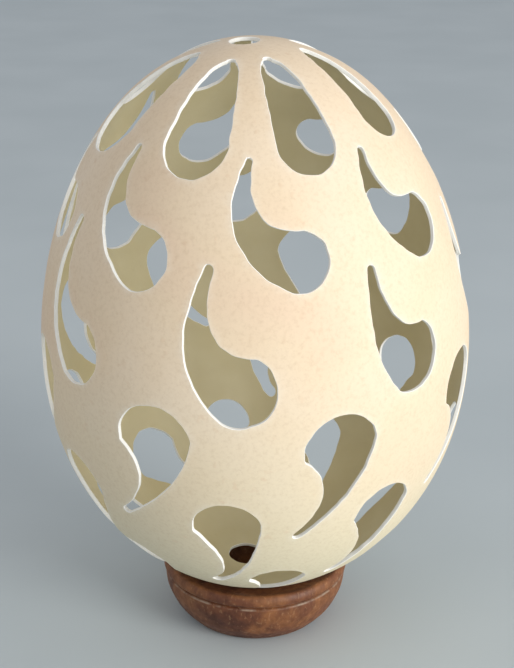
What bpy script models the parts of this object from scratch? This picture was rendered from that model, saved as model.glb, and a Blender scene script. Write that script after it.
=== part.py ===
"""Blown hen's egg with comma-shaped piercings, resting on a turned wooden stand.

Metres, +Z up. The origin is the centre of the stand's foot, and -Y is the front.
"""

import math

import bmesh
import bpy
import numpy as np
from mathutils import Matrix, Vector

MM = 0.001

# eggshell
EGG_HALF_LENGTH = 28.95 * MM
EGG_HALF_WIDTH = 21.8 * MM
EGG_TAPER = (-0.078, 0.003, 0.052)
WALL = 0.38 * MM
EGG_CENTRE = Vector((-0.16, -0.61, 33.9)) * MM
LEAN_FORWARD = math.radians(3.1)
LEAN_LEFT = math.radians(0.8)
SHELL_RINGS = 20
SHELL_SEGMENTS = 36

# blow holes: sideways and rearward offset from the pole, and radius
TOP_HOLE = (-0.75 * MM, 0.0, 1.45 * MM)
BOTTOM_HOLE = (-1.2 * MM, 0.3 * MM, 2.0 * MM)

# piercings
CUT_OUTSIDE = 1.0 * MM
CUT_INSIDE = 1.3 * MM
HEAD_POINTS = 3
TAIL_POINTS = 4
CRISP_ANGLE = math.radians(30.0)

# stand
STAND_SEGMENTS = 38
FOOT_RADIUS = 7.1 * MM
RIM_RADIUS = 10.0 * MM
RIM_HEIGHT = 6.65 * MM
SEAT_RADIUS = 7.0 * MM
SEAT_HEIGHT = 6.05 * MM
CUP_FLOOR = 1.8 * MM


def egg_outline():
    """Radius and height of the shell's outer face, from the pointed pole down."""
    t = np.cos(np.linspace(0.0, math.pi, 2001))
    a, b, c = EGG_TAPER
    swell = np.sqrt(np.clip(1.0 - t * t, 0.0, None)) * (1.0 + a * t + b * t**2 + c * t**3)
    return EGG_HALF_WIDTH * swell / swell.max(), EGG_HALF_LENGTH * t


OUTLINE_R, OUTLINE_Z = egg_outline()
OUTLINE_ARC = np.concatenate([[0.0], np.cumsum(np.hypot(np.diff(OUTLINE_R), np.diff(OUTLINE_Z)))])


def radius_at(arc):
    return float(np.interp(arc, OUTLINE_ARC, OUTLINE_R))


def height_at(arc):
    return float(np.interp(arc, OUTLINE_ARC, OUTLINE_Z))


def shell_point(turn, arc, out):
    """Point at a distance out from the shell, turn radians from the front and arc below the pole."""
    step = 0.3 * MM
    dr = radius_at(arc + step) - radius_at(arc - step)
    dz = height_at(arc + step) - height_at(arc - step)
    length = math.hypot(dr, dz)
    r = radius_at(arc) - out * dz / length
    z = height_at(arc) + out * dr / length
    return Vector((r * math.sin(turn), -r * math.cos(turn), z))


class Row:
    """One ring of piercings that share a shape: a round head and a tail swept along a bend."""

    def __init__(self, tip, taper, lean, head, reach, turn, bow):
        self.tip, self.taper, self.lean = tip, taper, lean
        self.usual = (head, reach, turn, bow)
        self.cuts = []

    def cut(self, azimuth, arc, head=None, reach=None, turn=None, bow=None):
        given = (head, reach, turn, bow)
        self.cuts.append((azimuth, arc, *(u if g is None else g for g, u in zip(given, self.usual))))

    def pairs(self, head, reach, turn, bow):
        """Left and right points of one outline in mm, head first, with its two end points."""
        way = Vector((math.cos(math.radians(turn)), math.sin(math.radians(turn))))
        side = Vector((-way.y, way.x))
        knee = way * reach * self.lean + side * bow
        far = way * reach
        first = knee.normalized()
        across = Vector((-first.y, first.x))
        pairs = []
        for i in range(1, HEAD_POINTS):
            a = 0.5 * math.pi * i / HEAD_POINTS
            middle = -first * head * math.cos(a)
            pairs.append((middle + across * head * math.sin(a), middle - across * head * math.sin(a)))
        for i in range(TAIL_POINTS + 1):
            t = i / TAIL_POINTS
            middle = 2.0 * t * (1.0 - t) * knee + t * t * far
            along = ((1.0 - t) * knee + t * (far - knee)).normalized()
            across = Vector((-along.y, along.x))
            half = self.tip + (head - self.tip) * (1.0 - t) ** self.taper
            pairs.append((middle + across * half, middle - across * half))
        return -first * head, pairs, far + along * self.tip


# Azimuths are in degrees from the front, growing to the right. Arcs are in mm from the pointed pole.
teardrops = Row(tip=0.45, taper=0.72, lean=0.7, head=3.0, reach=9.6, turn=90, bow=0.0)
teardrops.cut(-73.5, 14.9, head=3.8, reach=9.3, bow=-0.8)
teardrops.cut(-22.8, 15.3, head=3.15, reach=10.0)
teardrops.cut(21.3, 15.3, head=2.8, reach=10.4, turn=92)
teardrops.cut(66.5, 14.2, head=2.55, reach=9.2, turn=84)
teardrops.cut(115.0, 14.0)
teardrops.cut(159.8, 14.1, head=3.25, reach=9.5, turn=87, bow=-0.9)
teardrops.cut(204.7, 14.5, head=2.95, reach=9.8, turn=89, bow=-0.9)
teardrops.cut(248.2, 13.4, head=2.7)

upper_commas = Row(tip=0.3, taper=1.14, lean=0.42, head=2.8, reach=9.5, turn=109, bow=5.0)
upper_commas.cut(-33.2, 26.1, head=3.0, reach=10.3, bow=5.2)
upper_commas.cut(12.5, 25.6, reach=9.8, turn=110, bow=5.5)
upper_commas.cut(54.9, 24.9, head=3.05, reach=8.8, bow=4.35)
upper_commas.cut(105.0, 25.0)
upper_commas.cut(156.8, 24.6, head=2.6, reach=7.4, turn=107, bow=4.7)
upper_commas.cut(197.7, 25.3, head=2.9, reach=9.0, turn=111, bow=4.2)
upper_commas.cut(240.2, 25.6, head=2.7, reach=9.9, turn=106, bow=4.7)
upper_commas.cut(283.0, 25.4, head=2.9, reach=7.6)

middle_commas = Row(tip=0.45, taper=1.47, lean=0.39, head=3.3, reach=10.5, turn=106, bow=4.2)
middle_commas.cut(-52.0, 36.5, head=3.4, reach=12.1, turn=104, bow=4.8)
middle_commas.cut(-3.7, 37.1, head=3.5, reach=11.3, turn=104, bow=4.85)
middle_commas.cut(42.9, 36.3, head=3.45, reach=9.6, turn=110, bow=2.85)
middle_commas.cut(88.0, 35.2)
middle_commas.cut(135.4, 32.9, head=2.9, turn=107, bow=3.5)
middle_commas.cut(186.3, 33.4, head=3.15, reach=9.5, turn=108, bow=4.75)
middle_commas.cut(225.5, 34.3, head=3.0)
middle_commas.cut(268.0, 34.8)

turned_commas = Row(tip=0.45, taper=1.89, lean=0.4, head=3.6, reach=10.3, turn=-111, bow=2.7)
turned_commas.cut(-25.4, 43.1, head=3.8, reach=10.5, turn=-115, bow=2.9)
turned_commas.cut(21.6, 43.7, head=3.65, reach=10.5, turn=-110, bow=2.6)
turned_commas.cut(67.0, 42.6)
turned_commas.cut(109.5, 42.4, head=3.5)
turned_commas.cut(163.3, 40.9, head=3.75, reach=10.1, turn=-112, bow=2.35)
turned_commas.cut(206.1, 40.8, head=3.65, reach=8.9, turn=-114, bow=3.3)
turned_commas.cut(245.4, 41.2, reach=10.6, turn=-113, bow=3.4)
turned_commas.cut(287.0, 42.0)

lower_commas = Row(tip=0.55, taper=2.2, lean=0.6, head=3.4, reach=10.4, turn=-102, bow=2.0)
lower_commas.cut(-8.7, 52.8, head=3.65, reach=10.7)
lower_commas.cut(37.2, 52.7, head=3.2)
lower_commas.cut(82.0, 51.5, head=3.3)
lower_commas.cut(128.0, 50.6, head=2.95, reach=9.2)
lower_commas.cut(177.3, 49.2, head=3.0, reach=8.5, turn=-96, bow=2.1)
lower_commas.cut(216.0, 49.6)
lower_commas.cut(257.4, 50.7, head=3.0)
lower_commas.cut(303.0, 52.0)

foot_commas = Row(tip=0.4, taper=1.9, lean=0.45, head=2.9, reach=8.4, turn=-110, bow=2.0)
foot_commas.cut(8.0, 63.0, head=2.8)
foot_commas.cut(58.0, 62.5, head=2.8)
foot_commas.cut(107.6, 62.3, head=2.95, reach=9.0, turn=-109, bow=0.2)
foot_commas.cut(150.9, 62.3, head=2.7, reach=9.0, turn=-96, bow=-1.8)
foot_commas.cut(193.0, 61.1, head=2.75)
foot_commas.cut(230.4, 62.6, head=3.4, reach=10.0, turn=-125, bow=1.4)
foot_commas.cut(270.7, 61.9, head=3.3, reach=9.4, turn=-112, bow=0.6)
foot_commas.cut(314.0, 62.5)

ROWS = {
    "teardrops": teardrops,
    "upper_commas": upper_commas,
    "middle_commas": middle_commas,
    "turned_commas": turned_commas,
    "lower_commas": lower_commas,
    "foot_commas": foot_commas,
}


def clear_scene():
    for obj in list(bpy.data.objects):
        bpy.data.objects.remove(obj, do_unlink=True)


def collection(name):
    made = bpy.data.collections.new(name)
    bpy.context.scene.collection.children.link(made)
    return made


def material(name, colour, roughness):
    made = bpy.data.materials.new(name)
    made.use_nodes = True
    shader = made.node_tree.nodes["Principled BSDF"]
    shader.inputs["Base Color"].default_value = (*colour, 1.0)
    shader.inputs["Roughness"].default_value = roughness
    shader.inputs["Metallic"].default_value = 0.0
    made.diffuse_color = (*colour, 1.0)
    return made


def turned(name, profile, segments, where):
    """A profile of (radius, height) points spun about Z."""
    mesh = bpy.data.meshes.new(name)
    points = [(r, 0.0, z) for r, z in profile]
    mesh.from_pydata(points, [(i, i + 1) for i in range(len(points) - 1)], [])
    obj = bpy.data.objects.new(name, mesh)
    where.objects.link(obj)
    screw = obj.modifiers.new("turn", "SCREW")
    screw.axis = "Z"
    screw.steps = segments
    screw.render_steps = segments
    screw.use_merge_vertices = True
    screw.merge_threshold = 0.00005
    screw.use_smooth_shade = True
    return obj


def piercing(bm, row, cut):
    """Adds the cutter of one piercing: its outline swept through the wall along the shell's normals."""
    azimuth, arc, *shape = cut
    start, pairs, end = row.pairs(*shape)

    def column(point):
        level = arc * MM - point.y * MM
        turn = math.radians(azimuth) + point.x * MM / radius_at(level)
        return (
            bm.verts.new(shell_point(turn, level, CUT_OUTSIDE)),
            bm.verts.new(shell_point(turn, level, -CUT_INSIDE)),
        )

    first = column(start)
    last = column(end)
    columns = [(column(left), column(right)) for left, right in pairs]
    for level in (0, 1):
        head_left, head_right = columns[0]
        bm.faces.new((first[level], head_left[level], head_right[level]))
        for (l0, r0), (l1, r1) in zip(columns, columns[1:]):
            bm.faces.new((l0[level], l1[level], r1[level], r0[level]))
        tail_left, tail_right = columns[-1]
        bm.faces.new((tail_left[level], last[level], tail_right[level]))
    rim = [first] + [left for left, _ in columns] + [last] + [right for _, right in reversed(columns)]
    for a, b in zip(rim, rim[1:] + rim[:1]):
        bm.faces.new((a[0], a[1], b[1], b[0]))


def cutter(name, fill, where):
    bm = bmesh.new()
    fill(bm)
    bmesh.ops.recalc_face_normals(bm, faces=bm.faces)
    mesh = bpy.data.meshes.new(name)
    bm.to_mesh(mesh)
    bm.free()
    obj = bpy.data.objects.new(name, mesh)
    where.objects.link(obj)
    obj.hide_render = True
    obj.display_type = "WIRE"
    return obj


def subtract(obj, tool):
    boolean = obj.modifiers.new(tool.name, "BOOLEAN")
    boolean.operation = "DIFFERENCE"
    boolean.solver = "EXACT"
    boolean.object = tool


def crisp_edges():
    """Node tree that keeps an edge sharp where its faces meet at more than a given angle."""
    tree = bpy.data.node_groups.new("crisp_edges", "GeometryNodeTree")
    tree.interface.new_socket("Mesh", in_out="INPUT", socket_type="NodeSocketGeometry")
    tree.interface.new_socket("Angle", in_out="INPUT", socket_type="NodeSocketFloat").default_value = CRISP_ANGLE
    tree.interface.new_socket("Mesh", in_out="OUTPUT", socket_type="NodeSocketGeometry")
    given = tree.nodes.new("NodeGroupInput")
    bend = tree.nodes.new("GeometryNodeInputMeshEdgeAngle")
    gentle = tree.nodes.new("FunctionNodeCompare")
    gentle.operation = "LESS_THAN"
    shade = tree.nodes.new("GeometryNodeSetShadeSmooth")
    shade.domain = "EDGE"
    result = tree.nodes.new("NodeGroupOutput")
    tree.links.new(bend.outputs["Unsigned Angle"], gentle.inputs["A"])
    tree.links.new(given.outputs["Angle"], gentle.inputs["B"])
    tree.links.new(given.outputs["Mesh"], shade.inputs["Geometry"])
    tree.links.new(gentle.outputs["Result"], shade.inputs["Shade Smooth"])
    tree.links.new(shade.outputs["Geometry"], result.inputs["Mesh"])
    return tree


def make_eggshell(parts, cutters):
    levels = np.linspace(0.0, OUTLINE_ARC[-1], SHELL_RINGS + 1)
    shell = turned("eggshell", [(radius_at(s), height_at(s)) for s in levels], SHELL_SEGMENTS, parts)
    wall = shell.modifiers.new("wall", "SOLIDIFY")
    wall.thickness = WALL
    wall.offset = -1.0
    tools = []
    for name, row in ROWS.items():
        tools.append(cutter(name, lambda bm, row=row: [piercing(bm, row, c) for c in row.cuts], cutters))

    def blow_holes(bm):
        for (x, y, radius), z in ((TOP_HOLE, EGG_HALF_LENGTH), (BOTTOM_HOLE, -EGG_HALF_LENGTH)):
            place = Matrix.Translation((x, y, z))
            bmesh.ops.create_cone(
                bm, cap_ends=True, segments=16, radius1=radius, radius2=radius, depth=3.0 * MM, matrix=place
            )

    tools.append(cutter("blow_holes", blow_holes, cutters))
    axis = bpy.data.objects.new("egg_axis", None)
    parts.objects.link(axis)
    axis.location = EGG_CENTRE
    axis.rotation_euler = (LEAN_FORWARD, -LEAN_LEFT, 0.0)
    shell.parent = axis
    for tool in tools:
        tool.parent = axis
        subtract(shell, tool)
    shell.modifiers.new("crisp_edges", "NODES").node_group = crisp_edges()
    shell.data.materials.append(material("eggshell", (0.80, 0.71, 0.56), 0.55))
    return shell


def make_stand(parts):
    """Bowl-shaped stand turned from one block: foot, belly, groove, rounded rim and a hollow under the egg."""
    cup = [(0.0, CUP_FLOOR), (3.4 * MM, 2.05 * MM), (5.3 * MM, 3.0 * MM), (6.5 * MM, 4.6 * MM)]
    rim = [
        (SEAT_RADIUS, SEAT_HEIGHT),
        (8.5 * MM, 6.3 * MM),
        (9.45 * MM, RIM_HEIGHT),
        (9.8 * MM, 6.45 * MM),
        (RIM_RADIUS, 6.0 * MM),
        (9.93 * MM, 5.6 * MM),
        (9.7 * MM, 5.37 * MM),
    ]
    groove = [(9.47 * MM, 5.23 * MM), (9.66 * MM, 5.09 * MM)]
    belly = [
        (9.78 * MM, 4.85 * MM),
        (9.62 * MM, 3.7 * MM),
        (9.26 * MM, 2.7 * MM),
        (8.74 * MM, 1.7 * MM),
        (8.02 * MM, 0.8 * MM),
        (7.4 * MM, 0.15 * MM),
    ]
    foot = [(FOOT_RADIUS, 0.0), (0.0, 0.0)]
    stand = turned("stand", cup + rim + groove + belly + foot, STAND_SEGMENTS, parts)
    stand.data.materials.append(material("stand_wood", (0.19, 0.065, 0.025), 0.38))
    return stand


clear_scene()
egg_parts = collection("pierced_egg_on_stand")
egg_cutters = collection("cutters")
make_eggshell(egg_parts, egg_cutters)
make_stand(egg_parts)
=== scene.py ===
import math

import bmesh
import bpy
from mathutils import Matrix, Vector, geometry, kdtree, noise


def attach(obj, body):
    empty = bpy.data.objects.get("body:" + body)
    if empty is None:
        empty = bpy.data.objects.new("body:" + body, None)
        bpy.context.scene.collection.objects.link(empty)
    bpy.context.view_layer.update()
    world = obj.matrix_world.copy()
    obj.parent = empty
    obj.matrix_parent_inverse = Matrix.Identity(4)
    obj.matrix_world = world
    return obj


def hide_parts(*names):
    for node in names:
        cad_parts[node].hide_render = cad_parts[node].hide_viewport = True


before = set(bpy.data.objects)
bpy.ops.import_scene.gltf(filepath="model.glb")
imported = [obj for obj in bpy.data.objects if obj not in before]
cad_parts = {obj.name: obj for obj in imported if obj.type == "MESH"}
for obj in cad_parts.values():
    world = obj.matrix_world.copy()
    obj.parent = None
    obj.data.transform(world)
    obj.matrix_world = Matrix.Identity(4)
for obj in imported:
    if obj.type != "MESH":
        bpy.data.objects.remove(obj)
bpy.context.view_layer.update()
MM = 0.001


# The stand: one bowl-shaped foot turned from a block of reddish-brown hardwood, with a rounded
# rim, a fine groove cut below it and a belly that runs in to a small flat foot. It was oiled
# after turning. A lighter band painted along the lower lip of the groove is a painted highlight.
def smooth_run(points, steps):
    """A Catmull-Rom run through turned profile points, the end points kept."""
    points = [Vector(p) for p in points]
    ends = [2 * points[0] - points[1]] + points + [2 * points[-1] - points[-2]]
    run = []
    for a, b, c, d in zip(ends, ends[1:], ends[2:], ends[3:]):
        for i in range(steps):
            t = i / steps
            square = (2 * a - 5 * b + 4 * c - d) * t * t
            cube = (3 * b - a - 3 * c + d) * t**3
            run.append(0.5 * (2 * b + (c - a) * t + square + cube))
    return run + [points[-1]]


# The turned profile, as radius and height in mm, from the middle of the cup over the rim to the foot.
STAND_TURNS = 160
cup = smooth_run([(0.0, 1.8), (1.8, 1.86), (3.4, 2.07), (5.3, 3.0), (6.5, 4.6), (6.96, 6.02)], 5)
rim = smooth_run(
    [(7.05, 6.06), (8.5, 6.3), (9.42, 6.62), (9.8, 6.47), (9.98, 6.02), (9.93, 5.6), (9.7, 5.38)], 6
)
groove = smooth_run([(9.66, 5.35), (9.49, 5.27), (9.48, 5.2), (9.64, 5.11)], 3)
belly = smooth_run(
    [(9.74, 5.03), (9.78, 4.8), (9.65, 3.75), (9.26, 2.7), (8.74, 1.7), (8.02, 0.8), (7.45, 0.2)], 8
)
foot = smooth_run([(7.25, 0.06), (7.05, 0.0)], 2) + [Vector((3.5, 0.0)), Vector((0.0, 0.0))]
stand_profile = cup + rim + groove + belly + foot

# Handling has knocked the wood back a few hundredths of a mm, most at the lips and on the rim.
KNOCK_DEPTH = 0.03
KNOCKS_ROUND = 3.1
KNOCKS_UP = 0.9
LIPS_FROM, LIPS_TO = 4.95, 5.45
RIM_TOP_FROM = 6.3
SHELTERED = 0.25
STAND_CREASE = math.radians(50)

bm = bmesh.new()
rings = []
for radius, height in stand_profile:
    if radius < 1e-6:
        rings.append([bm.verts.new((0.0, 0.0, height * MM))])
        continue
    ring = []
    for i in range(STAND_TURNS):
        a = 2 * math.pi * i / STAND_TURNS
        spot = Vector((math.cos(a) * KNOCKS_ROUND, math.sin(a) * KNOCKS_ROUND, height * KNOCKS_UP))
        knock = noise.noise(spot) * KNOCK_DEPTH
        bare = LIPS_FROM < height < LIPS_TO or height > RIM_TOP_FROM
        r = radius + min(knock * (1.0 if bare else SHELTERED), 0.0)
        ring.append(bm.verts.new((r * math.cos(a) * MM, r * math.sin(a) * MM, height * MM)))
    rings.append(ring)
for upper, lower in zip(rings, rings[1:]):
    for i in range(STAND_TURNS):
        j = (i + 1) % STAND_TURNS
        if len(upper) == 1:
            bm.faces.new((upper[0], lower[i], lower[j]))
        elif len(lower) == 1:
            bm.faces.new((upper[i], lower[0], upper[j]))
        else:
            bm.faces.new((upper[i], lower[i], lower[j], upper[j]))
bmesh.ops.recalc_face_normals(bm, faces=bm.faces)
stand_mesh = bpy.data.meshes.new("turned_stand")
bm.to_mesh(stand_mesh)
bm.free()
stand_mesh.shade_smooth()
stand_mesh.set_sharp_from_angle(angle=STAND_CREASE)
stand = bpy.data.objects.new("turned_stand", stand_mesh)
bpy.context.scene.collection.objects.link(stand)


def new_material(name):
    """A new material with its node tree's nodes and links and its Principled BSDF."""
    made = bpy.data.materials.new(name)
    made.use_nodes = True
    tree = made.node_tree
    return made, tree.nodes, tree.links, tree.nodes["Principled BSDF"]


def ramp(nodes, links, value, stops, interpolation="LINEAR"):
    """A colour ramp over a value, its stops given as (position, (r, g, b))."""
    node = nodes.new("ShaderNodeValToRGB")
    node.color_ramp.interpolation = interpolation
    while len(node.color_ramp.elements) < len(stops):
        node.color_ramp.elements.new(1.0)
    for element, (place, colour) in zip(node.color_ramp.elements, stops):
        element.position = place
        element.color = (*colour, 1.0)
    links.new(value, node.inputs["Fac"])
    return node.outputs["Color"]


def mixed(nodes, links, factor, first, second, blend="MIX"):
    """Two colours mixed. Each is a socket or an (r, g, b)."""
    node = nodes.new("ShaderNodeMix")
    node.data_type = "RGBA"
    node.blend_type = blend
    if isinstance(factor, float):
        node.inputs["Factor"].default_value = factor
    else:
        links.new(factor, node.inputs["Factor"])
    for socket, given in (("A", first), ("B", second)):
        target = [s for s in node.inputs if s.name == socket and s.type == "RGBA"][0]
        if isinstance(given, tuple):
            target.default_value = (*given, 1.0)
        else:
            links.new(given, target)
    return [s for s in node.outputs if s.type == "RGBA"][0]


def sums(nodes, links, operation, first, second=None, clamp=False):
    """A sum on values, each a socket or a number."""
    node = nodes.new("ShaderNodeMath")
    node.operation = operation
    node.use_clamp = clamp
    for i, given in enumerate((first, second)):
        if given is None:
            continue
        if isinstance(given, (int, float)):
            node.inputs[i].default_value = given
        else:
            links.new(given, node.inputs[i])
    return node.outputs[0]


def noise_at(nodes, links, where, scale, detail=4.0, roughness=0.55, distortion=0.0):
    """Noise over a place, scale being its cells in a metre."""
    node = nodes.new("ShaderNodeTexNoise")
    node.inputs["Scale"].default_value = scale
    node.inputs["Detail"].default_value = detail
    node.inputs["Roughness"].default_value = roughness
    node.inputs["Distortion"].default_value = distortion
    links.new(where, node.inputs["Vector"])
    return node.outputs["Fac"]


def stretched(nodes, links, where, scale):
    """A place with its axes scaled, so that a texture on it is drawn out along one of them."""
    node = nodes.new("ShaderNodeMapping")
    node.inputs["Scale"].default_value = scale
    links.new(where, node.inputs["Vector"])
    return node.outputs["Vector"]


# The height and half width of the lighter band on the groove's lower lip, a painted highlight.
LIP_HEIGHT = 5.05 * MM
LIP_REACH = 0.13 * MM
PORE_SHARE = 0.33
wood, nodes, links, shader = new_material("oiled_red_wood")
at = nodes.new("ShaderNodeTexCoord").outputs["Object"]
blotches = noise_at(nodes, links, at, 190.0, 3.0, 0.6, 0.6)
fibres = noise_at(nodes, links, stretched(nodes, links, at, (1.0, 1.0, 0.75)), 1500.0, 4.0, 0.6)
pores = noise_at(nodes, links, stretched(nodes, links, at, (1.0, 1.0, 0.45)), 3600.0, 2.0, 0.5)
body = ramp(nodes, links, blotches, (
    (0.30, (0.075, 0.022, 0.011)),
    (0.47, (0.155, 0.052, 0.020)),
    (0.60, (0.235, 0.090, 0.030)),
    (0.74, (0.125, 0.036, 0.018)),
))
streak = ramp(nodes, links, fibres, (
    (0.32, (0.62, 0.56, 0.52)),
    (0.56, (1.0, 1.0, 1.0)),
    (0.76, (1.22, 1.2, 1.12)),
))
body = mixed(nodes, links, 0.85, body, streak, "MULTIPLY")
fleck = ramp(nodes, links, pores, ((0.60, (0.0, 0.0, 0.0)), (0.71, (1.0, 1.0, 1.0))))
body = mixed(nodes, links, sums(nodes, links, "MULTIPLY", fleck, PORE_SHARE), body, (0.42, 0.24, 0.12))
height = nodes.new("ShaderNodeSeparateXYZ")
links.new(at, height.inputs[0])
off_lip = sums(nodes, links, "ABSOLUTE", sums(nodes, links, "SUBTRACT", height.outputs["Z"], LIP_HEIGHT))
off_lip = sums(nodes, links, "MULTIPLY", off_lip, 1 / LIP_REACH)
lip_line = sums(nodes, links, "SUBTRACT", 1.0, off_lip, clamp=True)
# A lighter tan is painted in patches along the groove's lower lip: a painted highlight.
lip_highlight_patches = noise_at(nodes, links, at, 420.0, 3.0, 0.7)
lip_highlight_mask = ramp(nodes, links, lip_highlight_patches, ((0.44, (0.0, 0.0, 0.0)), (0.62, (1.0, 1.0, 1.0))))
body = mixed(nodes, links, sums(nodes, links, "MULTIPLY", lip_line, lip_highlight_mask), body, (0.34, 0.25, 0.18))
links.new(body, shader.inputs["Base Color"])
gloss = ramp(nodes, links, fibres, ((0.3, (0.64, 0.64, 0.64)), (0.7, (0.50, 0.50, 0.50))))
links.new(gloss, shader.inputs["Roughness"])
shader.inputs["Specular IOR Level"].default_value = 0.45
bump = nodes.new("ShaderNodeBump")
bump.inputs["Strength"].default_value = 0.35
bump.inputs["Distance"].default_value = 0.06 * MM
relief = sums(nodes, links, "ADD", fibres, sums(nodes, links, "MULTIPLY", pores, 0.5))
links.new(relief, bump.inputs["Height"])
links.new(bump.outputs["Normal"], shader.inputs["Normal"])
stand_mesh.materials.append(wood)
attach(stand, "root")
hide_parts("stand")


# The eggshell: one blown hen's egg, pointed end up and leaning a little in its stand. Its wall
# is 0.38 mm of matte cream calcite, drilled at both poles to empty it, and six rings of teardrops
# and commas were then cut through it by hand with a small burr, which left chalky white edges.
# Sizes are in mm. The outline's taper makes it an egg: the pointed end narrower than the blunt one.
EGG_HALF_LENGTH = 28.95
EGG_HALF_WIDTH = 21.8
EGG_TAPER = (-0.078, 0.003, 0.052)
WALL = 0.38
# The burr left the edges of each cut rounded by this much, inside and out.
EDGE = 0.05
SHELL_CREASE = math.radians(30)
EGG_CENTRE = Vector((-0.16, -0.61, 33.9)) * MM
LEAN = (math.radians(3.1), math.radians(-0.8), 0.0)
SKIN_SPACING = 0.8
CUT_SPACING = 0.28

OUTLINE_STEPS = 4000
outline = []
for i in range(OUTLINE_STEPS + 1):
    t = math.cos(math.pi * i / OUTLINE_STEPS)
    a, b, c = EGG_TAPER
    outline.append([math.sqrt(max(1 - t * t, 0.0)) * (1 + a * t + b * t * t + c * t**3), EGG_HALF_LENGTH * t])
widest = max(r for r, _ in outline)
arcs = [0.0]
for i, point in enumerate(outline):
    point[0] *= EGG_HALF_WIDTH / widest
    if i:
        arcs.append(arcs[-1] + math.dist(point, outline[i - 1]))
ARC_LENGTH = arcs[-1]


def at_arc(table, arc):
    """A value read from a table that runs along the egg's outline, arc mm from the pointed pole."""
    low, high = 0, OUTLINE_STEPS
    while high - low > 1:
        middle = (low + high) // 2
        if arcs[middle] <= arc:
            low = middle
        else:
            high = middle
    share = (arc - arcs[low]) / (arcs[high] - arcs[low])
    return table[low] * (1 - share) + table[high] * share


radii = [r for r, _ in outline]
# A height on the flat chart that keeps angles: equal steps round the egg and down it look square.
chart = [0.0]
for i in range(1, OUTLINE_STEPS + 1):
    middle = 0.5 * (radii[i] + radii[i - 1])
    chart.append(chart[-1] + (arcs[i] - arcs[i - 1]) / max(middle, 1e-3))


HEAD_STEPS = 12
TAIL_STEPS = 30


def comma(head, reach, turn, bow, tip, taper, lean):
    """The outline of one cut in mm, its round head at the middle and its tail swept along a bend."""
    way = Vector((math.cos(math.radians(turn)), math.sin(math.radians(turn))))
    side = Vector((-way.y, way.x))
    knee = way * reach * lean + side * bow
    far = way * reach
    first = knee.normalized()
    across = Vector((-first.y, first.x))
    left, right = [], []
    for i in range(1, HEAD_STEPS):
        a = 0.5 * math.pi * i / HEAD_STEPS
        middle = -first * head * math.cos(a)
        left.append(middle + across * head * math.sin(a))
        right.append(middle - across * head * math.sin(a))
    for i in range(TAIL_STEPS + 1):
        t = i / TAIL_STEPS
        middle = 2 * t * (1 - t) * knee + t * t * far
        along = ((1 - t) * knee + t * (far - knee)).normalized()
        across = Vector((-along.y, along.x))
        half = tip + (head - tip) * (1 - t) ** taper
        left.append(middle + across * half)
        right.append(middle - across * half)
    ahead = (far - knee).normalized()
    across = Vector((-ahead.y, ahead.x))
    cap = [far + (ahead * math.cos(a) + across * math.sin(a)) * tip for a in (1.0, 0.5, 0.0, -0.5, -1.0)]
    return [-first * head] + left + cap + right[::-1]


def evenly(loop, spacing):
    """The same closed loop with its points spaced evenly."""
    lengths = [(b - a).length for a, b in zip(loop, loop[1:] + loop[:1])]
    count = max(24, round(sum(lengths) / spacing))
    step = sum(lengths) / count
    points, walked, edge = [], 0.0, 0
    for i in range(count):
        while walked + lengths[edge] < i * step:
            walked += lengths[edge]
            edge += 1
        a, b = loop[edge], loop[(edge + 1) % len(loop)]
        points.append(a.lerp(b, (i * step - walked) / lengths[edge]))
    return points


def outward(loop):
    """The direction away from the hole at each point of a loop."""
    area = sum(a.cross(b) for a, b in zip(loop, loop[1:] + loop[:1]))
    ways = []
    for before, after in zip(loop[-1:] + loop[:-1], loop[1:] + loop[:1]):
        along = (after - before).normalized()
        ways.append(Vector((along.y, -along.x)) * (1 if area > 0 else -1))
    return ways


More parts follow.
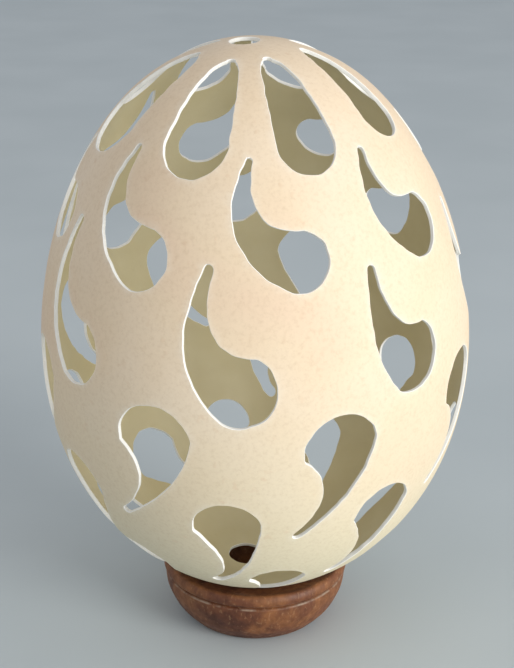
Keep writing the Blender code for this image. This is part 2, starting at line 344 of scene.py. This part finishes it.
# Each ring of cuts shares a tip radius, a taper and where the tail bends. A cut is then its
# azimuth in degrees from the front, its arc in mm from the pointed pole, the radius of its head,
# how far and which way the tail reaches, and how far it bows out.
CUT_RINGS = (
    ((0.45, 0.72, 0.70), (3.0, 9.6, 90, 0.0), (
        (-73.5, 14.9, 3.8, 9.3, 90, -0.8), (-22.8, 15.3, 3.15, 10.0),
        (21.3, 15.3, 2.8, 10.4, 92), (66.5, 14.2, 2.55, 9.2, 84),
        (115.0, 14.0), (159.8, 14.1, 3.25, 9.5, 87, -0.9),
        (204.7, 14.5, 2.95, 9.8, 89, -0.9), (248.2, 13.4, 2.7))),
    ((0.30, 1.14, 0.42), (2.8, 9.5, 109, 5.0), (
        (-33.2, 26.1, 3.0, 10.3, 109, 5.2), (12.5, 25.6, 2.8, 9.8, 110, 5.5),
        (54.9, 24.9, 3.05, 8.8, 109, 4.35), (105.0, 25.0),
        (156.8, 24.6, 2.6, 7.4, 107, 4.7), (197.7, 25.3, 2.9, 9.0, 111, 4.2),
        (240.2, 25.6, 2.7, 9.9, 106, 4.7), (283.0, 25.4, 2.9, 7.6))),
    ((0.45, 1.47, 0.39), (3.3, 10.5, 106, 4.2), (
        (-52.0, 36.5, 3.4, 12.1, 104, 4.8), (-3.7, 37.1, 3.5, 11.3, 104, 4.85),
        (42.9, 36.3, 3.45, 9.6, 110, 2.85), (88.0, 35.2),
        (135.4, 32.9, 2.9, 10.5, 107, 3.5), (186.3, 33.4, 3.15, 9.5, 108, 4.75),
        (225.5, 34.3, 3.0), (268.0, 34.8))),
    ((0.45, 1.89, 0.40), (3.6, 10.3, -111, 2.7), (
        (-25.4, 43.1, 3.8, 10.5, -115, 2.9), (21.6, 43.7, 3.65, 10.5, -110, 2.6),
        (67.0, 42.6), (109.5, 42.4, 3.5),
        (163.3, 40.9, 3.75, 10.1, -112, 2.35), (206.1, 40.8, 3.65, 8.9, -114, 3.3),
        (245.4, 41.2, 3.6, 10.6, -113, 3.4), (287.0, 42.0))),
    ((0.55, 2.20, 0.60), (3.4, 10.4, -102, 2.0), (
        (-7.7, 52.5, 3.35, 10.9, -100, 2.6), (37.2, 52.7, 3.2),
        (82.0, 51.5, 3.3), (128.0, 50.6, 2.95, 9.2),
        (177.3, 49.2, 3.0, 8.5, -96, 2.1), (216.0, 49.6), (257.4, 50.7, 3.0), (303.0, 52.0))),
    ((0.40, 1.90, 0.45), (2.9, 8.4, -110, 2.0), (
        (8.0, 63.0, 2.8), (58.0, 62.5, 2.8),
        (107.6, 62.3, 2.95, 9.0, -109, 0.2), (150.9, 62.3, 2.7, 9.0, -96, -1.8),
        (193.0, 61.1, 2.75), (230.4, 62.6, 3.4, 10.0, -125, 1.4),
        (270.7, 61.9, 3.3, 9.4, -112, 0.6), (314.0, 62.5))),
)
# The hole drilled at each pole: which end, its middle off the pole, its radius and how ragged it is.
BLOW_HOLES = ((1, -0.75, 0.0, 1.45, 0.05), (-1, -1.2, 0.3, 2.0, 0.12))


def chart_loop(loop, azimuth, arc, shift):
    """Chart points of a loop drawn in mm round a place on the shell, pushed shift mm off the hole."""
    points = []
    for (x, y), (ox, oy) in zip(loop, outward(loop)):
        level = arc - (y + oy * shift)
        turn = math.radians(azimuth) + (x + ox * shift) / at_arc(radii, level)
        points.append((turn, level))
    return points


# How far the hand strayed from each outline in mm, and how many times it did so in a mm.
WOBBLE = 0.11
WOBBLES_PER_MM = 0.9
cuts = []
for number, (shared, usual, ring) in enumerate(CUT_RINGS):
    for order, cut in enumerate(ring):
        azimuth, arc, *own = cut
        shape = tuple(own) + usual[len(own):]
        loop = evenly(comma(*shape, *shared), CUT_SPACING)
        ways = outward(loop)
        seed = Vector((number * 7.3, order * 3.7, 0.0))
        strays = [noise.noise(seed + Vector((p.x, p.y, 0.0)) * WOBBLES_PER_MM) for p in loop]
        loop = [p + way * WOBBLE * stray for p, way, stray in zip(loop, ways, strays)]
        cuts.append((chart_loop(loop, azimuth, arc, EDGE), chart_loop(loop, azimuth, arc, 0.0)))

POLE_POINTS = 90
poles = []
for end, x, y, radius, ragged in BLOW_HOLES:
    pair = []
    for shift in (EDGE, 0.0):
        points = []
        for i in range(POLE_POINTS):
            a = -math.pi + 2 * math.pi * i / POLE_POINTS
            way = Vector((math.sin(a), -math.cos(a)))
            off = Vector((x, y))
            along = off.dot(way)
            reach = along + math.sqrt(along * along + (radius + shift) ** 2 - off.length_squared)
            reach += ragged * noise.noise(Vector((math.sin(a), math.cos(a), end)) * 3.0)
            points.append((a, reach if end > 0 else ARC_LENGTH - reach))
        pair.append(points)
    poles.append(pair)


# Points of the skin between the cuts, in rows down the egg, none of them close to a cut.
heights = [z for _, z in outline]


def on_egg(turn, level):
    r = at_arc(radii, level)
    return (r * math.sin(turn), -r * math.cos(turn), at_arc(heights, level))


cut_points = [p for skin, _ in cuts + poles for p in skin]
near_cut = kdtree.KDTree(len(cut_points))
for i, (turn, level) in enumerate(cut_points):
    near_cut.insert(on_egg(turn, level), i)
near_cut.balance()
row_gap = 0.87 * SKIN_SPACING
SLANT_OF_ROWS = 0.37
JOG = 0.05
CLEAR_OF_CUTS = 0.5
skin_points = []
for row in range(1, int(ARC_LENGTH / row_gap)):
    level = row * row_gap
    count = max(8, round(2 * math.pi * at_arc(radii, level) / SKIN_SPACING))
    for i in range(count):
        turn = -math.pi + 2 * math.pi * ((i + SLANT_OF_ROWS * row) / count % 1.0)
        jog = JOG * SKIN_SPACING * noise.noise(Vector((i * 1.71, row * 2.33, 0.5)))
        if near_cut.find(on_egg(turn, level))[2] > CLEAR_OF_CUTS * SKIN_SPACING:
            skin_points.append((turn, level + jog))

# The chart repeats every full turn, so a strip on both sides of its seam is drawn twice. Beyond the
# hole at each pole it is closed off by two far corners.
SEAM_STRIP = 0.5
PAST_POLE = 3.0
TURN = 2 * math.pi
places = []
loops = []
for skin, wall in cuts:
    middle = sum(turn for turn, _ in skin) / len(skin)
    back = TURN * round(middle / TURN)
    first = len(places)
    places += [(turn - back, level) for turn, level in skin]
    loops.append((list(range(first, first + len(skin))), wall))
pole_loops = []
for skin, wall in poles:
    first = len(places)
    places += skin
    pole_loops.append((list(range(first, first + len(skin))), wall))
first_skin = len(places)
places += skin_points

drawn, names, holes = [], [], []


def draw(indices, shift):
    """Draws points on the chart, shift radians on, and gives their places in the drawing."""
    start = len(drawn)
    for i in indices:
        turn, level = places[i]
        drawn.append((turn + shift, at_arc(chart, level)))
        names.append(i)
    return list(range(start, start + len(indices)))


for indices, _ in loops:
    turns = [places[i][0] for i in indices]
    for shift in (-TURN, 0.0, TURN):
        if min(turns) + shift < math.pi + SEAM_STRIP and max(turns) + shift > -math.pi - SEAM_STRIP:
            holes.append(draw(indices, shift))
for indices, _ in pole_loops:
    strip = round(len(indices) * SEAM_STRIP / TURN)
    ring = draw(indices[-strip:], -TURN) + draw(indices, 0.0) + draw(indices[:strip], TURN)
    beyond = -PAST_POLE if indices is pole_loops[0][0] else PAST_POLE
    corners = []
    for end in (ring[-1], ring[0]):
        corners.append(len(drawn))
        drawn.append((drawn[end][0], drawn[end][1] + beyond))
        names.append(-1)
    holes.append(ring + corners)
for i in range(first_skin, len(places)):
    turn = places[i][0]
    draw([i], 0.0)
    if turn < -math.pi + SEAM_STRIP:
        draw([i], TURN)
    if turn > math.pi - SEAM_STRIP:
        draw([i], -TURN)

# All holes run the same way round, then the skin between them is filled with triangles.
for hole in holes:
    corners = [drawn[i] for i in hole]
    if sum(a[0] * b[1] - a[1] * b[0] for a, b in zip(corners, corners[1:] + corners[:1])) < 0:
        hole.reverse()
SAME_PLACE = 1e-7
verts, _, faces, made_from, _, inside = geometry.delaunay_2d_cdt(
    [Vector(p) for p in drawn], [], holes, 0, SAME_PLACE
)
triangles = set()
for face, within in zip(faces, inside):
    if within or len(face) != 3 or any(not made_from[v] for v in face):
        continue
    middle = sum(verts[v].x for v in face) / 3
    corner = tuple(names[made_from[v][0]] for v in face)
    if -math.pi <= middle < math.pi and min(corner) >= 0:
        low = corner.index(min(corner))
        triangles.add(corner[low:] + corner[:low])

# The flat sheet: x is the turn round the egg, y the arc down from the pointed pole, z the depth.
# Its faces know their layer: 0 the skin, 0.5 the wall of a cut, 1 the lining.
bm = bmesh.new()
layer = bm.faces.layers.float.new("layer")
rim = bm.verts.layers.float.new("rim")


def flat(turn, level, depth, on_rim):
    """A point of the flat sheet."""
    vert = bm.verts.new((turn * EGG_HALF_WIDTH * MM, level * MM, depth * MM))
    vert[rim] = on_rim
    return vert


used = sorted({i for triangle in triangles for i in triangle})
outer = {i: flat(*places[i], 0.0, 1.0 if i < first_skin else 0.0) for i in used}
inner = {i: flat(*places[i], -WALL, 1.0 if i < first_skin else 0.0) for i in used}
for a, b, c in triangles:
    bm.faces.new((outer[a], outer[c], outer[b]))[layer] = 0.0
    bm.faces.new((inner[a], inner[b], inner[c]))[layer] = 1.0
for indices, wall in loops + pole_loops:
    back = places[indices[0]][0] - wall[0][0]
    back = TURN * round(back / TURN)
    rings = [[outer[i] for i in indices]]
    for depth in (-EDGE, EDGE - WALL):
        rings.append([flat(turn + back, level, depth, 1.0) for turn, level in wall])
    rings.append([inner[i] for i in indices])
    for upper, lower in zip(rings, rings[1:]):
        for i in range(len(indices)):
            j = (i + 1) % len(indices)
            bm.faces.new((upper[i], upper[j], lower[j], lower[i]))[layer] = 0.5
sheet = bpy.data.meshes.new("flat_sheet_of_shell")
bm.to_mesh(sheet)
bm.free()
eggshell = bpy.data.objects.new("pierced_eggshell", sheet)
bpy.context.scene.collection.objects.link(eggshell)

profile = bpy.data.curves.new("egg_outline", "CURVE")
profile.dimensions = "3D"
line = profile.splines.new("POLY")
EVERY = 8
line.points.add(OUTLINE_STEPS // EVERY)
for i, point in enumerate(line.points):
    r, z = outline[i * EVERY]
    point.co = (r * MM, 0.0, z * MM, 1.0)
egg_outline = bpy.data.objects.new("egg_outline", profile)
bpy.context.scene.collection.objects.link(egg_outline)

# Wraps the flat sheet round the egg's outline, then leans the egg into its place on the stand.
wrap = bpy.data.node_groups.new("wrap_sheet_on_egg", "GeometryNodeTree")
inputs = {}
for name, kind in (
    ("Sheet", "Geometry"),
    ("Outline", "Object"),
    ("Half Width", "Float"),
    ("Centre", "Vector"),
    ("Lean", "Rotation"),
    ("Finish", "Material"),
):
    socket = wrap.interface.new_socket(name, in_out="INPUT", socket_type="NodeSocket" + kind)
    inputs[name] = socket.identifier
wrap.interface.new_socket("Shell", in_out="OUTPUT", socket_type="NodeSocketGeometry")
given = wrap.nodes.new("NodeGroupInput").outputs


def node(kind, **settings):
    made = wrap.nodes.new(kind)
    for setting, value in settings.items():
        setattr(made, setting, value)
    return made


def math_of(operation, first, second=None):
    made = node("ShaderNodeMath", operation=operation)
    wrap.links.new(first, made.inputs[0])
    if second is not None:
        wrap.links.new(second, made.inputs[1])
    return made.outputs[0]


place = node("ShaderNodeSeparateXYZ")
wrap.links.new(node("GeometryNodeInputPosition").outputs[0], place.inputs[0])
along, down, out = place.outputs
read = node("GeometryNodeObjectInfo")
wrap.links.new(given["Outline"], read.inputs["Object"])
sample = node("GeometryNodeSampleCurve", mode="LENGTH", use_all_curves=True)
wrap.links.new(read.outputs["Geometry"], sample.inputs["Curves"])
wrap.links.new(down, sample.inputs["Length"])
on_line = node("ShaderNodeSeparateXYZ")
wrap.links.new(sample.outputs["Position"], on_line.inputs[0])
slope = node("ShaderNodeSeparateXYZ")
wrap.links.new(sample.outputs["Tangent"], slope.inputs[0])
radius = math_of("SUBTRACT", on_line.outputs["X"], math_of("MULTIPLY", slope.outputs["Z"], out))
level = math_of("ADD", on_line.outputs["Z"], math_of("MULTIPLY", slope.outputs["X"], out))
turn = math_of("DIVIDE", along, given["Half Width"])
moved = node("ShaderNodeCombineXYZ")
wrap.links.new(math_of("MULTIPLY", radius, math_of("SINE", turn)), moved.inputs["X"])
away = math_of("MULTIPLY", radius, math_of("COSINE", turn))
nothing = node("ShaderNodeValue")
wrap.links.new(math_of("SUBTRACT", nothing.outputs[0], away), moved.inputs["Y"])
wrap.links.new(level, moved.inputs["Z"])
bend = node("GeometryNodeSetPosition")
wrap.links.new(given["Sheet"], bend.inputs["Geometry"])
wrap.links.new(moved.outputs[0], bend.inputs["Position"])
lean = node("GeometryNodeTransform")
wrap.links.new(bend.outputs[0], lean.inputs["Geometry"])
wrap.links.new(given["Centre"], lean.inputs["Translation"])
wrap.links.new(given["Lean"], lean.inputs["Rotation"])
whole = node("GeometryNodeRealizeInstances")
wrap.links.new(lean.outputs[0], whole.inputs[0])
finish = node("GeometryNodeSetMaterial")
wrap.links.new(whole.outputs[0], finish.inputs["Geometry"])
wrap.links.new(given["Finish"], finish.inputs["Material"])
wrap.links.new(finish.outputs[0], wrap.nodes.new("NodeGroupOutput").inputs[0])

# Low on the egg the skin is painted from pinkish to olive cream: painted bounce light from below.
OLIVE_BELOW, PINK_ABOVE = 12 * MM, 36 * MM
DOT_SHARE = 0.22
DUST_SHARE = 0.5
calcite, nodes, links, shader = new_material("matte_eggshell")
at = nodes.new("ShaderNodeTexCoord").outputs["Object"]


def attribute(name):
    """A value that the shell's faces or points carry."""
    read = nodes.new("ShaderNodeAttribute")
    read.attribute_name = name
    return read.outputs["Fac"]


cloudy = noise_at(nodes, links, at, 60.0, 3.0, 0.5)
skin = ramp(nodes, links, cloudy, (
    (0.30, (0.80, 0.61, 0.44)),
    (0.50, (0.82, 0.66, 0.47)),
    (0.70, (0.84, 0.70, 0.53)),
))
height = nodes.new("ShaderNodeSeparateXYZ")
links.new(at, height.inputs[0])
# Painted bounce light: the skin turns olive cream towards the bottom of the egg.
painted_bounce_share = nodes.new("ShaderNodeMapRange")
painted_bounce_share.inputs["From Min"].default_value = OLIVE_BELOW
painted_bounce_share.inputs["From Max"].default_value = PINK_ABOVE
painted_bounce_share.inputs["To Min"].default_value = 1.0
painted_bounce_share.inputs["To Max"].default_value = 0.0
links.new(height.outputs["Z"], painted_bounce_share.inputs["Value"])
skin = mixed(nodes, links, painted_bounce_share.outputs["Result"], skin, (0.78, 0.70, 0.50))
grain = noise_at(nodes, links, at, 2600.0, 4.0, 0.65)
speckle = ramp(nodes, links, grain, (
    (0.30, (0.90, 0.87, 0.83)),
    (0.50, (1.0, 1.0, 1.0)),
    (0.75, (1.05, 1.05, 1.05)),
))
skin = mixed(nodes, links, 0.7, skin, speckle, "MULTIPLY")
pocks = noise_at(nodes, links, at, 900.0, 2.0, 0.5)
dots = ramp(nodes, links, pocks, ((0.66, (0.0, 0.0, 0.0)), (0.74, (1.0, 1.0, 1.0))))
skin = mixed(nodes, links, sums(nodes, links, "MULTIPLY", dots, DOT_SHARE), skin, (0.70, 0.48, 0.30))
powder = noise_at(nodes, links, at, 1900.0, 3.0, 0.6)
chalk = mixed(nodes, links, powder, (0.90, 0.88, 0.82), (0.97, 0.96, 0.92))
stain = noise_at(nodes, links, at, 85.0, 4.0, 0.6)
lining = ramp(nodes, links, stain, ((0.30, (0.66, 0.58, 0.36)), (0.70, (0.76, 0.69, 0.48))))
BLACK, WHITE = (0.0, 0.0, 0.0), (1.0, 1.0, 1.0)
layer_here = attribute("layer")
cut_here = ramp(nodes, links, layer_here, ((0.0, BLACK), (0.25, WHITE), (0.75, BLACK)), "CONSTANT")
inner_here = ramp(nodes, links, layer_here, ((0.0, BLACK), (0.75, WHITE)), "CONSTANT")
dust = sums(nodes, links, "MULTIPLY", sums(nodes, links, "POWER", attribute("rim"), 2.0), grain)
skin = mixed(nodes, links, sums(nodes, links, "MULTIPLY", dust, DUST_SHARE), skin, (0.92, 0.88, 0.78))
colour = mixed(nodes, links, inner_here, mixed(nodes, links, cut_here, skin, chalk), lining)
links.new(colour, shader.inputs["Base Color"])
matte = ramp(nodes, links, grain, ((0.3, (0.62, 0.62, 0.62)), (0.7, (0.50, 0.50, 0.50))))
links.new(matte, shader.inputs["Roughness"])
shader.inputs["Specular IOR Level"].default_value = 0.35
bump = nodes.new("ShaderNodeBump")
bump.inputs["Strength"].default_value = 0.25
bump.inputs["Distance"].default_value = 0.03 * MM
links.new(sums(nodes, links, "ADD", grain, dots), bump.inputs["Height"])
links.new(bump.outputs["Normal"], shader.inputs["Normal"])

wrapping = eggshell.modifiers.new("wrap", "NODES")
wrapping.node_group = wrap
wrapping[inputs["Outline"]] = egg_outline
wrapping[inputs["Half Width"]] = EGG_HALF_WIDTH * MM
wrapping[inputs["Centre"]] = EGG_CENTRE
wrapping[inputs["Lean"]] = LEAN
wrapping[inputs["Finish"]] = calcite
wrapped = eggshell.evaluated_get(bpy.context.evaluated_depsgraph_get())
shell_mesh = bpy.data.meshes.new_from_object(wrapped)
eggshell.modifiers.clear()
eggshell.data = shell_mesh
bpy.data.objects.remove(egg_outline)
bm = bmesh.new()
bm.from_mesh(shell_mesh)
bmesh.ops.recalc_face_normals(bm, faces=bm.faces)
bm.to_mesh(shell_mesh)
bm.free()
shell_mesh.shade_smooth()
shell_mesh.set_sharp_from_angle(angle=SHELL_CREASE)
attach(eggshell, "root")
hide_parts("eggshell")


# The room: a plain pale floor, one large soft light from the right, a weak one from the left and
# even light from all round.
FLOOR_HALF = 3.0
FLOOR_BELOW = 0.1 * MM
floor_mesh = bpy.data.meshes.new("floor")
bm = bmesh.new()
bmesh.ops.create_grid(bm, x_segments=1, y_segments=1, size=FLOOR_HALF)
bm.to_mesh(floor_mesh)
bm.free()
floor = bpy.data.objects.new("floor", floor_mesh)
floor.location.z = -FLOOR_BELOW
bpy.context.scene.collection.objects.link(floor)
paper, nodes, links, shader = new_material("pale_paper")
at = nodes.new("ShaderNodeTexCoord").outputs["Object"]
sheen = noise_at(nodes, links, at, 30.0, 2.0, 0.5)
tone = ramp(nodes, links, sheen, ((0.35, (0.52, 0.58, 0.60)), (0.65, (0.55, 0.61, 0.63))))
links.new(tone, shader.inputs["Base Color"])
shader.inputs["Roughness"].default_value = 0.9
floor_mesh.materials.append(paper)

world = bpy.data.worlds.new("even_light")
bpy.context.scene.world = world
world.use_nodes = True
background = world.node_tree.nodes["Background"]
background.inputs["Color"].default_value = (0.93, 0.95, 1.0, 1.0)
background.inputs["Strength"].default_value = 0.55


def soft_light(name, place, aim, size, watts, colour):
    """A square lamp of a given size in metres that shines from a place towards an aim."""
    lamp = bpy.data.lights.new(name, "AREA")
    lamp.size = size
    lamp.energy = watts
    lamp.color = colour
    made = bpy.data.objects.new(name, lamp)
    made.location = place
    made.rotation_euler = (Vector(aim) - Vector(place)).to_track_quat("-Z", "Y").to_euler()
    bpy.context.scene.collection.objects.link(made)


window = {"place": (0.40, -0.32, 0.14), "aim": (0.0, 0.0, 0.035), "size": 0.26}
soft_light("window_right", **window, watts=2.5, colour=(1.0, 0.985, 0.95))
fill = {"place": (-0.45, -0.30, 0.25), "aim": (0.0, 0.0, 0.03), "size": 0.5}
soft_light("fill_left", **fill, watts=0.3, colour=(1.0, 0.88, 0.75))

# The camera stands close, a little above the egg, as the photograph was taken.
camera = bpy.data.cameras.new("camera")
camera.sensor_width = 36.0
camera.lens = 78.87
camera.shift_x = 0.0030
camera.clip_start = 0.01
view = bpy.data.objects.new("camera", camera)
CAMERA_PLACE = Vector((-0.157, -140.613, 87.641)) * MM
CAMERA_TIP = math.radians(90 - 21.5465)
CAMERA_ROLL = math.radians(0.327)
view.matrix_world = (
    Matrix.Translation(CAMERA_PLACE)
    @ Matrix.Rotation(CAMERA_TIP, 4, "X")
    @ Matrix.Rotation(CAMERA_ROLL, 4, "Z")
)
bpy.context.scene.collection.objects.link(view)
bpy.context.scene.camera = view
bpy.context.scene.view_settings.view_transform = "Standard"
bpy.context.scene.view_settings.look = "None"
